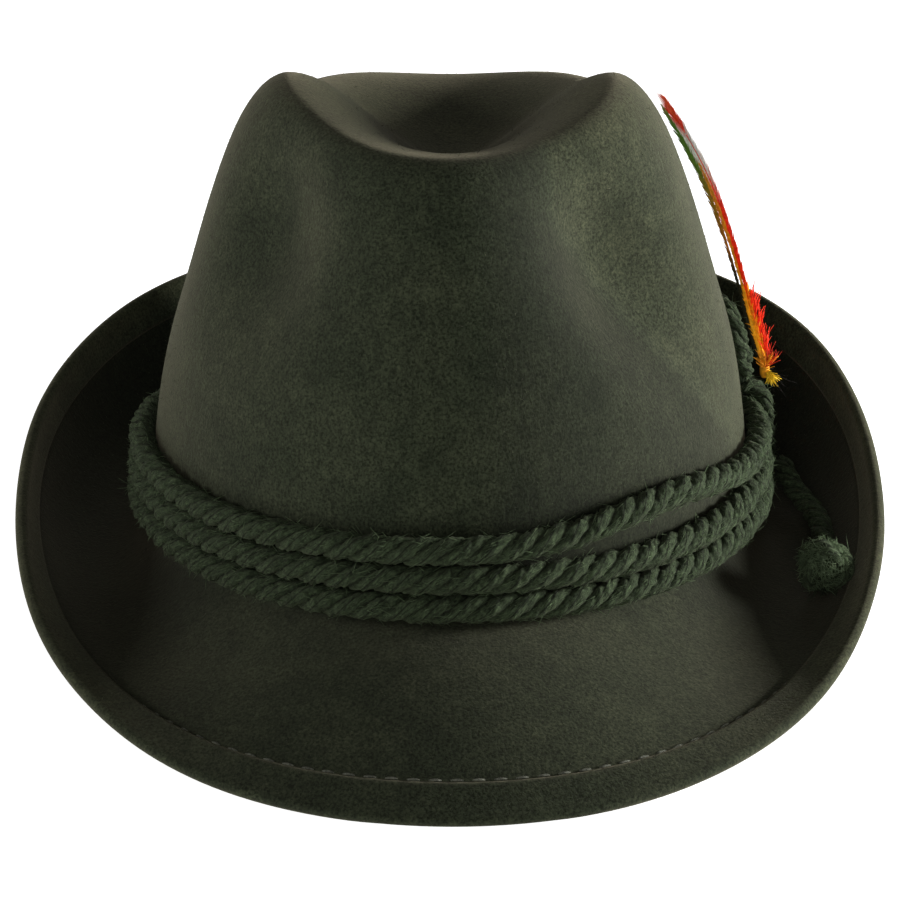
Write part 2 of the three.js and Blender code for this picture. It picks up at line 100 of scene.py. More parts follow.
# The cord's free end, in the hat's own frame, as in the part's source
TAIL_ROUTE = (
    (0.0986, 0.0148, 0.0094),
    (0.1003, 0.0090, 0.0054),
    (0.1029, 0.0030, 0.0020),
    (0.1056, -0.0030, -0.0003),
    (0.1068, -0.0090, -0.0014),
    (0.1075, -0.0150, -0.0021),
    (0.1073, -0.0210, -0.0028),
    (0.1069, -0.0270, -0.0038),
    (0.1063, -0.0330, -0.0045),
    (0.1056, -0.0390, -0.0053),
    (0.1048, -0.0452, -0.0054),
)
END_KNOT_CENTRE = (0.1037, -0.0542, -0.0018)

PLUME_HEIGHT = 0.0755
PLUME_LEAN_IN = 0.0305
PLUME_LEAN_BACK = 0.0214
PLUME_RISE = (0, 0.164, 0.31, 0.457, 0.603, 0.738, 0.872, 1)
PLUME_INWARD = (0, 0.121, 0.213, 0.325, 0.455, 0.605, 0.795, 1)
PLUME_BACK = (0, 0.042, 0.112, 0.229, 0.369, 0.533, 0.743, 1)
FEATHERS = (
    {"colour": "red", "reach": 1, "width": 1},
    {"colour": "orange", "reach": 0.72, "width": 0.7},
    {"colour": "green", "reach": 0.965, "width": 0.85},
)
VANE_FULL_WIDTH = 0.013
VANE_THICKNESS = 0.0008
VANE_ALONG = (0, 0.06, 0.2, 0.42, 0.65, 0.82, 0.94, 1)
VANE_WIDTH = (0.06, 0.2, 0.3, 0.6, 1, 1, 0.6, 0.12)
TUFT_HEIGHT = 0.0066
TUFT_DEPTH = 0.0076
TUFT_LEAN = math.radians(35)

# The camera that the outline in the photograph gives
CAMERA_ELEVATION = math.radians(23)
CAMERA_DISTANCE = 0.85
CAMERA_TARGET = Vector((-0.00018, SHIFT, 0.031))
CAMERA_LENS = 116.0

# Mesh fineness
FELT_COLUMNS = 264
DENT_RINGS = 17
WALL_RINGS = 52
BRIM_RINGS = 34
EDGE_RINGS = 7
BAND_COLUMNS = 960
CURL_STEPS = 24  # for adding up the brim's curl
SEAT_STEP = 0.001  # for seating the band on the brim
CURVE_STEPS = 24  # between two points of a route
SEED = 7
RNG = np.random.default_rng(SEED)


def to_row(points):
    """From the hat's own frame to the row frame: leaned back, and set down on the surface."""
    points = np.asarray(points, float)
    x, y, z = points[..., 0], points[..., 1], points[..., 2]
    c, s = math.cos(LEAN), math.sin(LEAN)
    return np.stack([x, y * c + z * s + SHIFT, -y * s + z * c + LIFT], -1)


def unit(vectors):
    return vectors / np.maximum(np.linalg.norm(vectors, axis=-1, keepdims=True), 1e-12)


def set_camera():
    data = bpy.data.cameras.new("camera")
    data.lens = CAMERA_LENS
    data.sensor_width = 36
    data.clip_start = 0.01
    camera = bpy.data.objects.new("camera", data)
    ahead = Vector((0, math.cos(CAMERA_ELEVATION), -math.sin(CAMERA_ELEVATION)))
    camera.location = CAMERA_TARGET - CAMERA_DISTANCE * ahead
    camera.rotation_euler = (math.pi / 2 - CAMERA_ELEVATION, 0, 0)
    bpy.context.collection.objects.link(camera)
    bpy.context.scene.camera = camera


set_camera()


# The hat's surfaces
def round_the_hat(values, azimuth):
    """A smooth curve through values from front to back, the same on both sides, as a short cosine series."""
    values = np.array(values, float)
    last = len(values) - 1
    ends = np.ones(last + 1)
    ends[0] = ends[-1] = 0.5
    total = np.zeros_like(azimuth)
    for order in range(last + 1):
        weight = np.sum(ends * values * np.cos(np.pi * order * np.arange(last + 1) / last))
        half = 0.5 if order in (0, last) else 1
        total = total + (2 / last) * half * weight * np.cos(order * azimuth)
    return total


def break_point(azimuth):
    azimuth = np.asarray(azimuth, float)
    sag = SIDE_SAG * np.sin(azimuth) ** 2
    return np.stack([BREAK_WIDTH * np.sin(azimuth), -BREAK_LENGTH * np.cos(azimuth), -sag], -1)


def outward(azimuth):
    azimuth = np.asarray(azimuth, float)
    level = np.zeros_like(azimuth)
    return unit(np.stack([np.sin(azimuth) / BREAK_WIDTH, -np.cos(azimuth) / BREAK_LENGTH, level], -1))


def turned(azimuth, centre):
    return np.arctan2(np.sin(azimuth - centre), np.cos(azimuth - centre))


def pinched(points, azimuth, height):
    for pinch in PINCHES:
        centre = np.radians(pinch["azimuth"] + pinch["slant"] * (height - pinch["height"]))
        aside = turned(azimuth, centre) / math.radians(pinch["azimuth_spread"])
        above = (height - pinch["height"]) / pinch["height_spread"]
        depth = PINCH_DEPTH * pinch["depth"] * np.exp(-aside**2 - above**2)
        points = points - outward(centre + 0 * azimuth) * depth[..., None]
    return points


def ridge_point(azimuth):
    reach = round_the_hat(CROWN_PLAN["ridge_reach"], azimuth)
    point = break_point(azimuth) * reach[..., None]
    point[..., 2] = CROWN_HEIGHT * round_the_hat(CROWN_PLAN["ridge_height"], azimuth)
    return point


def wall_point(azimuth, height, inset):
    foot, ridge = break_point(azimuth), ridge_point(azimuth)
    shares = np.stack([inset, inset, height], -1)
    return pinched(foot + (ridge - foot) * shares, azimuth, height)


def dent_point(azimuth, share):
    ridge = pinched(ridge_point(azimuth), azimuth, np.ones_like(azimuth))
    middle = np.array([0, DENT_MIDDLE * BREAK_LENGTH, DENT_FLOOR_HEIGHT])
    fall = (1 - math.cos(math.pi * (1 - share))) / 2
    point = middle + (ridge - middle) * share
    point[..., 0] = ridge[..., 0] * share
    point[..., 2] = ridge[..., 2] + (middle[2] - ridge[..., 2]) * fall
    return point


def brim_length(azimuth):
    return BRIM_WIDTH * round_the_hat(BRIM_PLAN["width"], azimuth)


def brim_point(azimuth, length):
    """The brim curls evenly from its start tilt at the crown to its end tilt at the rim."""
    azimuth = np.asarray(azimuth, float)
    start = np.radians(round_the_hat(BRIM_PLAN["start_tilt"], azimuth))
    end = np.radians(round_the_hat(BRIM_PLAN["end_tilt"], azimuth))
    curl = (end - start) / brim_length(azimuth)
    reach = np.zeros_like(azimuth)
    rise = np.zeros_like(azimuth)
    for i in range(CURL_STEPS):
        tilt = start + curl * length * ((i + 0.5) / CURL_STEPS)
        reach = reach + np.cos(tilt) * length / CURL_STEPS
        rise = rise + np.sin(tilt) * length / CURL_STEPS
    point = break_point(azimuth)
    flat = point + outward(azimuth) * reach[..., None]
    flat[..., 2] = point[..., 2] + rise
    return flat


def beside_crown(azimuth, offset, height):
    """A point beside the crown: standing off its outer face, at a height above the break."""
    azimuth = np.asarray(azimuth, float)
    height = height + 0 * azimuth
    foot = break_point(azimuth)[..., 2]
    share = np.maximum(0, (height - foot) / (ridge_point(azimuth)[..., 2] - foot))
    point = wall_point(azimuth, share, np.interp(share, WALL_HEIGHT, WALL_INSET))
    point = point + outward(azimuth) * (FELT_HALF + np.asarray(offset) + 0 * azimuth)[..., None]
    point[..., 2] = height
    return point


def seat_height(azimuth):
    """The height of the lowest turn's centre, lying in the corner between the crown and the brim."""
    reach = FELT_HALF + CLEARANCE + CORD_RADIUS
    foot, out = break_point(azimuth), outward(azimuth)
    seat = np.full_like(azimuth, BAND_RISE)
    for length in np.arange(0, 3 * CORD_DIAMETER, SEAT_STEP):
        felt = brim_point(azimuth, length)
        aside = np.sum((felt - foot) * out, -1) - reach
        over = felt[..., 2] + np.sqrt(np.maximum(0, reach**2 - aside**2))
        seat = np.where(np.abs(aside) < reach, np.maximum(seat, over), seat)
    return seat


def turn_height(turn, azimuth):
    azimuth = np.asarray(azimuth, float)
    height = seat_height(azimuth) + turn * CORD_PITCH + BAND_SIDE_RISE * np.sin(azimuth) ** 4
    if turn == BAND_TURNS - 1:
        away = turned(azimuth, BAND_GAP["azimuth"]) / BAND_GAP["spread"]
        height = height + BAND_LIFT * np.exp(-(away**2))
    return height


# Meshes
def catmull_rom(a, b, c, d, t):
    """A smooth reading between b and c, at the share t of the way."""
    return 0.5 * (2 * b + (c - a) * t + (2 * a - 5 * b + 4 * c - d) * t**2 + (3 * b - a - 3 * c + d) * t**3)


def smooth_curve(points, count):
    """Points along a Catmull-Rom curve through the given ones, evenly spaced."""
    points = np.asarray(points, float)
    padded = np.vstack([2 * points[0] - points[1], points, 2 * points[-1] - points[-2]])
    fine = []
    for i in range(len(points) - 1):
        for t in np.linspace(0, 1, CURVE_STEPS, endpoint=False):
            fine.append(catmull_rom(*padded[i : i + 4], t))
    fine.append(points[-1])
    return evenly(np.array(fine), count)


def full_turn(count):
    return np.linspace(0, 2 * np.pi, count, endpoint=False)


def lengths_along(points):
    return np.concatenate([[0], np.cumsum(np.linalg.norm(np.diff(points, axis=0), axis=1))])


def evenly(points, count):
    lengths = lengths_along(points)
    at = np.linspace(0, lengths[-1], count)
    return np.stack([np.interp(at, lengths, points[:, k]) for k in range(3)], -1)


def path_length(points):
    return float(np.sum(np.linalg.norm(np.diff(points, axis=0), axis=1)))


def directions_along(points, closed):
    if closed:
        return unit(np.roll(points, -1, 0) - np.roll(points, 1, 0))
    return unit(np.gradient(points, axis=0))


def frames_along(points, closed, first_side):
    """A side and an upright direction at each point, carried along the path without turning about it."""
    along = directions_along(points, closed)
    side = np.zeros_like(points)
    before = np.asarray(first_side, float)
    for i, ahead in enumerate(along):
        before = before - ahead * np.dot(before, ahead)
        before = before / np.linalg.norm(before)
        side[i] = before
    return side, np.cross(along, side)


class Build:
    """Collects the vertices, faces and per-vertex values of one mesh."""

    def __init__(self):
        self.vertices, self.faces, self.values = [], [], {}
        self.count = 0

    def add(self, vertices, faces, **values):
        self.vertices.append(np.asarray(vertices, float))
        self.faces += [tuple(int(v) + self.count for v in face) for face in faces]
        for name in set(values) | set(self.values):
            have = self.values.setdefault(name, [np.zeros(self.count)] if self.count else [])
            have.append(np.broadcast_to(np.asarray(values.get(name, 0.0), float), (len(vertices),)))
        self.count += len(vertices)

    def tube(self, points, side, upright, radius, sides, closed=False, flat=1.0, relief=1.0, **values):
        """A tube round a path, with its relief as shares of the radius. An open one has a point at each end."""
        points = np.asarray(points, float)
        count = len(points)
        turn = full_turn(sides)
        radius = np.broadcast_to(np.asarray(radius, float), (count,))[:, None] * relief
        cos, sin = np.cos(turn)[None, :, None], (flat * np.sin(turn))[None, :, None]
        ring = side[:, None] * cos + upright[:, None] * sin
        radius = np.broadcast_to(radius, (count, sides))[:, :, None]
        grid = (points[:, None] + radius * ring).reshape(-1, 3)
        around = np.tile(turn, count)
        along = np.repeat(lengths_along(points), sides)
        rows = count if closed else count - 1
        faces = []
        for i in range(rows):
            a, b = i * sides, ((i + 1) % count) * sides
            for j in range(sides):
                k = (j + 1) % sides
                faces.append((a + j, a + k, b + k, b + j))
        spread = {}
        for name, value in values.items():
            value = np.broadcast_to(np.asarray(value, float), (count,))
            spread[name] = np.repeat(value, sides)
        if not closed:
            start, end = len(grid), len(grid) + 1
            grid = np.vstack([grid, points[0], points[-1]])
            last = (count - 1) * sides
            for j in range(sides):
                k = (j + 1) % sides
                faces.append((start, k, j))
                faces.append((end, last + j, last + k))
            around = np.append(around, [0, 0])
            along = np.append(along, [along[0], along[-1]])
            spread = {name: np.append(v, [v[0], v[-1]]) for name, v in spread.items()}
        self.add(grid, faces, around=around, along=along, **spread)

    def object(self, name, material):
        mesh = bpy.data.meshes.new(name)
        mesh.from_pydata(np.vstack(self.vertices).tolist(), [], self.faces)
        for key, parts in self.values.items():
            layer = mesh.attributes.new(key, "FLOAT", "POINT")
            layer.data.foreach_set("value", np.concatenate(parts).astype(np.float32))
        mesh.polygons.foreach_set("use_smooth", [True] * len(mesh.polygons))
        mesh.materials.append(material)
        mesh.update()
        made = bpy.data.objects.new(name, mesh)
        bpy.context.collection.objects.link(made)
        return made


# Three strands laid round each other: their radius and distance from the middle, as shares of the rope's radius
STRANDS = 3
STRAND_RADIUS = 0.56
STRAND_REACH = 0.45
STRAND_SIDES = 24
ROPE_PITCH = 0.0215
# A strand swells and thins a little along its length
SWELL = 0.035
SWELL_PITCH = 0.011
# Each strand shows the ridges of its yarns, which turn the other way
YARNS = 5
YARN_RELIEF = 0.06
YARN_PITCH = 0.016
# Matted wool: small uneven lumps, as a share of the strand's radius
MATTED_RELIEF = 0.035
MATTED_WAVES = 9
MATTED_PITCHES = (0.0016, 0.005)
# Loose hairs, and how many stand off each millimetre of a rope
HAIR_RADIUS = 0.00013
HAIR_LENGTH = 0.0029
HAIRS = 5.5
HAIR_SPREAD = 1.15  # radians round the strand, from its outermost line
HAIR_ROOT = 0.97  # share of the strand's radius
THINNEST_END = 0.25


def rope(build, points, radius, first_side, closed=False, pitch=ROPE_PITCH, taper=0.0, hairs=HAIRS):
    """A wool rope of three strands along a path whose points lie about half a millimetre apart, with this many
    loose hairs for each millimetre of its length."""
    side, upright = frames_along(points, closed, first_side)
    length = lengths_along(points)
    whole = length[-1] + (np.linalg.norm(points[0] - points[-1]) if closed else 0)
    turns, yarn_turns = whole / pitch, whole / YARN_PITCH
    if closed:
        turns, yarn_turns = round(turns), round(yarn_turns)
        side, upright = close_frames(points, side, upright)
    thin = np.ones(len(points))
    if taper:
        thin = np.clip(np.minimum(length, length[-1] - length) / taper, THINNEST_END, 1) ** 0.5
    corner = full_turn(STRAND_SIDES)
    for strand in range(STRANDS):
        turn = -2 * np.pi * (turns * length / whole + strand / STRANDS)
        out = side * np.cos(turn)[:, None] + upright * np.sin(turn)[:, None]
        centre = points + out * (STRAND_REACH * radius * thin)[:, None]
        ahead = directions_along(centre, closed)
        up = unit(np.cross(ahead, out))
        swells = 2 * np.pi * length / whole * round(whole / SWELL_PITCH)
        swell = 1 + SWELL * np.sin(swells + 2 * strand + 5 * radius)
        twist = 2 * np.pi * YARNS * (yarn_turns * length / whole)[:, None]
        phase = YARNS * corner[None, :] + twist + 2 * strand
        yarns = 1 - YARN_RELIEF + YARN_RELIEF * np.abs(np.cos(phase / 2)) ** 0.7 * 2
        for _ in range(MATTED_WAVES):
            waves, lumps = RNG.integers(-6, 7), round(whole / RNG.uniform(*MATTED_PITCHES))
            slant = waves * corner[None, :] + (2 * np.pi * lumps * length / whole)[:, None]
            yarns = yarns + MATTED_RELIEF * np.cos(slant + RNG.uniform(0, 2 * np.pi))
        reach = STRAND_RADIUS * radius * thin * swell
        build.tube(centre, out, up, reach, STRAND_SIDES, closed=closed, relief=yarns, strand=strand)
        count = int(hairs * whole * 1000 / STRANDS)
        at = RNG.integers(0, len(points), count)
        lean = RNG.normal(0, HAIR_SPREAD, count)
        away = out[at] * np.cos(lean)[:, None] + up[at] * np.sin(lean)[:, None]
        roots = centre[at] + away * (reach[at] * HAIR_ROOT)[:, None]
        forward, off = RNG.choice((-1, 1), count)[:, None], RNG.uniform(0.03, 0.34, count)[:, None]
        way = unit(ahead[at] * forward + away * off)
        lengths = HAIR_LENGTH * RNG.uniform(0.4, 1.2, count)
        fibres(build, roots, way, lengths, HAIR_RADIUS, 0.3, segments=1, strand=1.5, fuzz=1.0)


def close_frames(points, side, upright):
    """Turns the frames a little along a closed path, so that the last meets the first."""
    ahead = unit(points[0] - points[-1])
    back = side[-1] - ahead * np.dot(side[-1], ahead)
    back = back / np.linalg.norm(back)
    error = math.atan2(np.dot(np.cross(side[0], back), ahead), np.dot(side[0], back))
    turn = -error * np.arange(len(points)) / len(points)
    cos, sin = np.cos(turn)[:, None], np.sin(turn)[:, None]
    return side * cos + upright * sin, upright * cos - side * sin


def fibres(build, roots, directions, lengths, radius, bend, segments=4, **values):
    """Fine bent hairs, each a thin three-sided body that comes to a point."""
    for root, direction, length in zip(roots, directions, lengths):
        swerve = RNG.normal(0, bend, 3)
        t = np.linspace(0, 1, segments + 1)
        line = root + direction * (length * t)[:, None] + swerve * (length * t**2)[:, None]
        side, upright = frames_along(line, False, np.cross(direction, swerve + 0.01))
        build.tube(line, side, upright, radius * (1 - 0.8 * t), 3, **values)


# Materials
def new_material(name, roughness, sheen=0.0, sheen_tint=(1, 1, 1, 1)):
    material = bpy.data.materials.new(name)
    material.use_nodes = True
    shader = material.node_tree.nodes["Principled BSDF"]
    shader.inputs["Roughness"].default_value = roughness
    shader.inputs["Specular IOR Level"].default_value = 0.15
    shader.inputs["Sheen Weight"].default_value = sheen
    shader.inputs["Sheen Roughness"].default_value = 0.45
    shader.inputs["Sheen Tint"].default_value = sheen_tint
    return material, material.node_tree, shader


def noise(tree, vector, scale, detail=3.0, roughness=0.55, distortion=0.0):
    node = tree.nodes.new("ShaderNodeTexNoise")
    node.inputs["Scale"].default_value = scale
    node.inputs["Detail"].default_value = detail
    node.inputs["Roughness"].default_value = roughness
    node.inputs["Distortion"].default_value = distortion
    tree.links.new(vector, node.inputs["Vector"])
    return node.outputs["Fac"]


def ramp(tree, value, stops):
    node = tree.nodes.new("ShaderNodeValToRGB")
    elements = node.color_ramp.elements
    while len(elements) < len(stops):
        elements.new(0.5)
    for element, (position, colour) in zip(elements, stops):
        element.position = position
        element.color = (*colour, 1)
    tree.links.new(value, node.inputs["Fac"])
    return node.outputs["Color"]


def mixed(tree, factor, first, second, blend="MIX"):
    node = tree.nodes.new("ShaderNodeMix")
    node.data_type = "RGBA"
    node.blend_type = blend
    if isinstance(factor, float):
        node.inputs["Factor"].default_value = factor
    else:
        tree.links.new(factor, node.inputs["Factor"])
    tree.links.new(first, node.inputs["A"])
    tree.links.new(second, node.inputs["B"])
    return node.outputs["Result"]


def bumped(tree, shader, height, strength, distance, before=None):
    node = tree.nodes.new("ShaderNodeBump")
    node.inputs["Strength"].default_value = strength
    node.inputs["Distance"].default_value = distance
    tree.links.new(height, node.inputs["Height"])
    if before is not None:
        tree.links.new(before, node.inputs["Normal"])
    tree.links.new(node.outputs["Normal"], shader.inputs["Normal"])
    return node.outputs["Normal"]


def attribute(tree, name):
    node = tree.nodes.new("ShaderNodeAttribute")
    node.attribute_name = name
    return node.outputs["Fac"]


def combined(tree, x, y, z):
    node = tree.nodes.new("ShaderNodeCombineXYZ")
    for socket, value in zip(node.inputs, (x, y, z)):
        if isinstance(value, (int, float)):
            socket.default_value = value
        else:
            tree.links.new(value, socket)
    return node.outputs["Vector"]


def scaled(tree, value, factor):
    node = tree.nodes.new("ShaderNodeMath")
    node.operation = "MULTIPLY"
    node.inputs[1].default_value = factor
    tree.links.new(value, node.inputs[0])
    return node.outputs["Value"]


def stretched(tree, vector, factors):
    node = tree.nodes.new("ShaderNodeVectorMath")
    node.operation = "MULTIPLY"
    node.inputs[1].default_value = factors
    tree.links.new(vector, node.inputs[0])
    return node.outputs["Vector"]


# Painted light and shade: what the felt's own colour is multiplied by, from painted shade (0) over even (0.5) to
# painted light (1)
PAINTED_LIGHT_TONES = ((0, (0.2, 0.25, 0.21)), (0.5, (0.98, 1.05, 0.98)), (1, (1.68, 1.56, 1.36)))


def felt_material():
    material, tree, shader = new_material("wool felt", 0.97, 0.14, (1.0, 0.88, 0.6, 1))
    place = tree.nodes.new("ShaderNodeTexCoord").outputs["Object"]
    grain = noise(tree, place, 1350, 3, 0.65, 0.4)
    nap_and_painted_light = noise(tree, stretched(tree, place, (1, 1, 0.4)), 620, 3, 0.6, 0.8)
    patches = noise(tree, place, 42, 3, 0.55)
    dark = ramp(tree, grain, ((0.36, (0.0062, 0.0082, 0.0042)), (0.64, (0.0272, 0.0325, 0.0185))))
    pale = ramp(tree, grain, ((0.36, (0.0095, 0.0116, 0.0062)), (0.64, (0.0375, 0.042, 0.0245))))
    cloudy = ramp(tree, patches, ((0.38, (0, 0, 0)), (0.62, (1, 1, 1))))
    spots = noise(tree, place, 150, 3, 0.6, 0.5)
    mottled = ramp(tree, spots, ((0.34, (0.84, 0.85, 0.84)), (0.66, (1.16, 1.14, 1.13))))
    wool = mixed(tree, 1.0, mixed(tree, cloudy, dark, pale), mottled, "MULTIPLY")
    streaks = ramp(tree, nap_and_painted_light, ((0.3, (0.8, 0.8, 0.8)), (0.7, (1.2, 1.2, 1.18))))
    brushed = mixed(tree, 1.0, wool, streaks, "MULTIPLY")
    # Painted light and shade: a map on the felt's vertices makes its colour paler where light falls and darker
    # where shade lies
    worn_and_painted_light = ramp(tree, attribute(tree, "wear"), PAINTED_LIGHT_TONES)
    tree.links.new(mixed(tree, 1.0, brushed, worn_and_painted_light, "MULTIPLY"), shader.inputs["Base Color"])
    coarse = bumped(tree, shader, nap_and_painted_light, 0.35, 0.0004)
    bumped(tree, shader, grain, 0.6, 0.0002, coarse)
    return material


def rope_material(name, dark, pale, sheen):
    material, tree, shader = new_material(name, 0.95, sheen, (0.95, 0.95, 0.6, 1))
    along, around, strand = (attribute(tree, key) for key in ("along", "around", "strand"))
    on_strand = combined(tree, scaled(tree, along, 480), scaled(tree, around, 5.5), strand)
    fine = noise(tree, on_strand, 1, 3, 0.7, 1.1)
    place = tree.nodes.new("ShaderNodeTexCoord").outputs["Object"]
    blotches = noise(tree, place, 210, 3, 0.6)
    deep = ramp(tree, fine, ((0.34, [0.4 * v for v in dark]), (0.66, [1.2 * v for v in pale])))
    worn_and_painted_light = ramp(tree, fine, ((0.34, dark), (0.66, [2.6 * v for v in pale])))
    # Painted shade: each tube is darkened on the side turned away from its outer face, which for a strand is its
    # side toward the rope's middle, in the grooves between strands
    facing = tree.nodes.new("ShaderNodeMath")
    facing.operation = "COSINE"
    tree.links.new(around, facing.inputs[0])
    painted_groove_shade = ramp(tree, facing.outputs["Value"], ((0.0, (0.3, 0.3, 0.3)), (0.55, (1, 1, 1))))
    matted = noise(tree, place, 1250, 3, 0.7, 0.6)
    flecks = ramp(tree, matted, ((0.36, (0.55, 0.55, 0.55)), (0.64, (1.45, 1.45, 1.4))))
    streaked = mixed(tree, 1.0, mixed(tree, blotches, deep, worn_and_painted_light), flecks, "MULTIPLY")
    wool = mixed(tree, 1.0, streaked, painted_groove_shade, "MULTIPLY")
    # Loose fibres take a paler colour; on the frayed knot, which sits in shade, part of this paleness is painted
    # light
    loose = ramp(tree, blotches, ((0.3, [1.8 * v for v in pale]), (0.7, [5.2 * v for v in pale])))
    tree.links.new(mixed(tree, attribute(tree, "fuzz"), wool, loose), shader.inputs["Base Color"])
    bumped(tree, shader, matted, 0.8, 0.0004, bumped(tree, shader, fine, 0.9, 0.0005))
    return material


def plume_material(name, stops, glow):
    material, tree, shader = new_material(name, 0.7)
    along = attribute(tree, "share")
    colour = ramp(tree, along, stops)
    place = tree.nodes.new("ShaderNodeTexCoord").outputs["Object"]
    shade = ramp(tree, noise(tree, place, 900, 2), ((0.3, (0.62, 0.62, 0.62)), (0.7, (1.1, 1.1, 1.1))))
    barbs = mixed(tree, 1.0, colour, shade, "MULTIPLY")
    tree.links.new(barbs, shader.inputs["Base Color"])
    # Painted light: the vanes glow with their own colour, in place of light coming through the thin vanes from
    # behind
    tree.links.new(barbs, shader.inputs["Emission Color"])
    shader.inputs["Emission Strength"].default_value = glow
    return material


FELT = felt_material()
ROPE = rope_material("wool rope", (0.0105, 0.0158, 0.0074), (0.0268, 0.0385, 0.019), 0.05)
# The frayed knot is paler than the rope: partly its loose fibres catching more light, partly painted light, as it
# sits in the brim's shade.
KNOT = rope_material("frayed wool", (0.0175, 0.0262, 0.0128), (0.045, 0.063, 0.033), 0.05)
STITCH = rope_material("sewing thread", (0.07, 0.075, 0.058), (0.135, 0.14, 0.115), 0.15)


# The free cord and its end knot
TAIL_PITCH = 0.019
TAIL_STEPS = 150
TAIL_PATH_POINTS = 36


def tail_piece():
    route = smooth_curve(to_row(TAIL_ROUTE), TAIL_STEPS)
    build = Build()
    rope(build, route, TAIL_RADIUS, (0, 0, 1), pitch=TAIL_PITCH, taper=0.003, hairs=0)
    tail = build.object("tail_rope", ROPE)
    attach(tail, "root")
    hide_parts("cord_tail")
    return tail, smooth_curve(to_row(TAIL_ROUTE), TAIL_PATH_POINTS)


KNOT_REACH = 0.0034
KNOT_SWELL = 0.0022
KNOT_ROPE_RADIUS = 0.0028
KNOT_PITCH = 0.013
KNOT_STEPS = 260
# The frayed fibres: a mat that lies along the knot's skin, and a few longer ones that hang below it
KNOT_SKIN = 0.0066
KNOT_FRAYS = (
    {"count": 900, "toward": (0, -0.4, 0.3), "combed": 3.4, "length": 0.0021, "radius": 0.0002, "fuzz": 1},
    {"count": 90, "toward": (0.6, -0.3, -2.2), "combed": 0.3, "length": 0.004, "radius": 0.00018, "fuzz": 0.1},
)


def end_knot():
    """A pulled-tight knot: a rope that runs twice round an axis while it circles three times about itself."""
    turn = full_turn(KNOT_STEPS)
    reach = KNOT_REACH + KNOT_SWELL * np.cos(3 * turn)
    x = reach * np.cos(2 * turn)
    y = 1.5 * KNOT_SWELL * np.sin(3 * turn)
    z = 0.92 * reach * np.sin(2 * turn)
    points = to_row(np.stack([x, y, z], -1) + np.array(END_KNOT_CENTRE))
    build = Build()
    rope(build, points, KNOT_ROPE_RADIUS, (0, 1, 0), closed=True, pitch=KNOT_PITCH)
    centre = to_row(END_KNOT_CENTRE)
    for group in KNOT_FRAYS:
        count = group["count"]
        out = unit(RNG.normal(0, 1, (count, 3)) + np.array(group["toward"]))
        lying = unit(np.cross(out, np.array([0.3, 1, 0.2]) + RNG.normal(0, 0.7, (count, 3))))
        comb = unit(lying * group["combed"] + out)
        lengths = group["length"] * RNG.uniform(0.5, 1, count)
        roots = centre + out * KNOT_SKIN
        fuzz = group["fuzz"]
        fibres(build, roots, comb, lengths, group["radius"], 0.45, segments=2, strand=1.0, fuzz=fuzz)
    knot = build.object("end_knot", KNOT)
    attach(knot, "root")
    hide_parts("tail_knot")
    return knot


tail_rope, tail_path = tail_piece()
tail_end = end_knot()


# The felt body
WELT_SHARES = (0, 0.02, 0.06, 0.12, 0.2, 0.35, 0.5, 0.65, 0.8, 0.92, 1)
WELT_RISE = 0.07  # share of the welt over which it thickens
SOFTENING_PASSES = 3
UNEVEN_WAVES = 14
UNEVEN_HEIGHT = 0.00009
UNEVEN_RATES = (20, 75)  # radians for each metre


def felt_rings():
    """Rings of the felt's middle surface, from the dent out to the rim, and how far its faces lie from it."""
    azimuth = full_turn(FELT_COLUMNS)
    rings, above, below = [], [], []

    def ring(points, up=FELT_HALF):
        rings.append(points)
        above.append(up)
        below.append(FELT_HALF)

    for share in np.linspace(0.06, 0.97, DENT_RINGS):
        ring(dent_point(azimuth, share))
    for at in np.linspace(len(WALL_HEIGHT) - 1, 0, WALL_RINGS):
        height = smooth_read(WALL_HEIGHT, at)
        inset = smooth_read(WALL_INSET, at)
        ring(wall_point(azimuth, height + 0 * azimuth, inset + 0 * azimuth))
    for share in np.linspace(0, 1, BRIM_RINGS + 2)[1:-1]:
        ring(brim_point(azimuth, (brim_length(azimuth) - WELT_WIDTH) * share))
    for share in WELT_SHARES:
        step = 1 - math.exp(-((share / WELT_RISE) ** 2))
        up = FELT_HALF + (WELT_THICKNESS - FELT_THICKNESS) * step
        ring(brim_point(azimuth, brim_length(azimuth) - WELT_WIDTH * (1 - share)), up)
    return np.array(rings), np.array(above), np.array(below)


def smooth_read(values, at):
    """A smooth reading between the values of a row, at a place counted in steps."""
    i = min(int(at), len(values) - 2)
    near = (values[min(max(i + k, 0), len(values) - 1)] for k in (-1, 0, 1, 2))
    return catmull_rom(*near, at - i)


def softened(rings, passes):
    """Evens the creases between one ring and the next."""
    for _ in range(passes):
        middle = 0.25 * rings[:-2] + 0.5 * rings[1:-1] + 0.25 * rings[2:]
        rings = np.concatenate([rings[:1], middle, rings[-1:]])
    return rings


def uneven(points, normals):
    """Hand-pressed felt is never quite even: slow waves a few tenths of a millimetre high."""
    height = np.zeros(points.shape[:2])
    for _ in range(UNEVEN_WAVES):
        wave = RNG.normal(0, 1, 3) * RNG.uniform(*UNEVEN_RATES)
        height += np.cos(points @ wave + RNG.uniform(0, 2 * np.pi)) * UNEVEN_HEIGHT
    return points + normals * height[..., None]


def rising(values, start, end):
    """From 0 at the start to 1 at the end, easing in and out."""
    share = np.clip((values - start) / (end - start), 0, 1)
    return share * share * (3 - 2 * share)


# Painted light and shade on the felt, from 0 (painted shade, dark) over 0.5 (even) to 1 (painted light, pale)
EVEN_PAINTED_LIGHT = 0.5
DENT_PAINTED_LIGHT = 0.72
